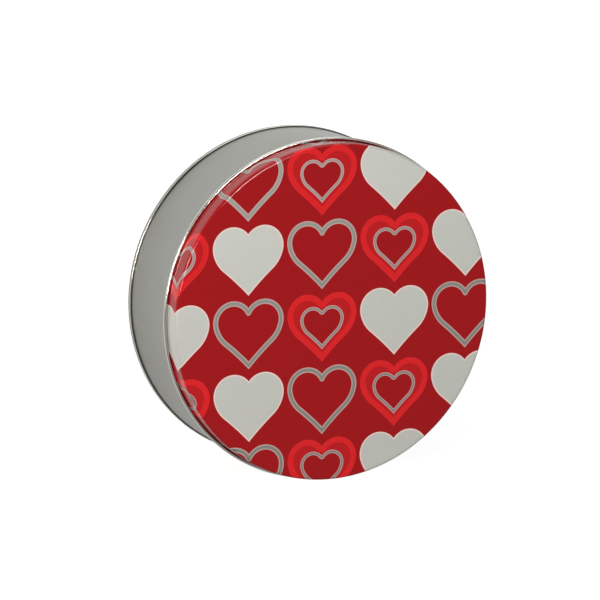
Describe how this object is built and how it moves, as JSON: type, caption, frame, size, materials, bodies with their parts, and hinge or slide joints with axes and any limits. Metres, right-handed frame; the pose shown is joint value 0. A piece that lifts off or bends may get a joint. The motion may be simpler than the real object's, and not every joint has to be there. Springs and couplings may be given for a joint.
{
  "type": "round lidded tin",
  "caption": "Round tinplate keepsake tin with a slip-on lid printed in hearts, a bare rolled hem, a plain satin body and a double-seamed base.",
  "frame": {"origin": "middle of the base, on the surface that the tin stands on", "axes": "+Z along the tin's axis, up through the lid; +X to the right and +Y up on the printed lid as the hearts stand"},
  "size_m": [0.2096, 0.2096, 0.0749],
  "materials": {
    "bare_tinplate": "satin, lacquered clear",
    "printed_lid": "printed tinplate under gloss varnish"
  },
  "bodies": {
    "tin": {"body_wall": "bare_tinplate", "bottom_end": "bare_tinplate"},
    "lid": {"lid": "printed_lid"}
  },
  "joints": [
    {"name": "lid_lift", "type": "slide", "parent": "tin", "child": "lid", "axis": [0, 0, 1], "range_m": [0, 0.1]}
  ]
}
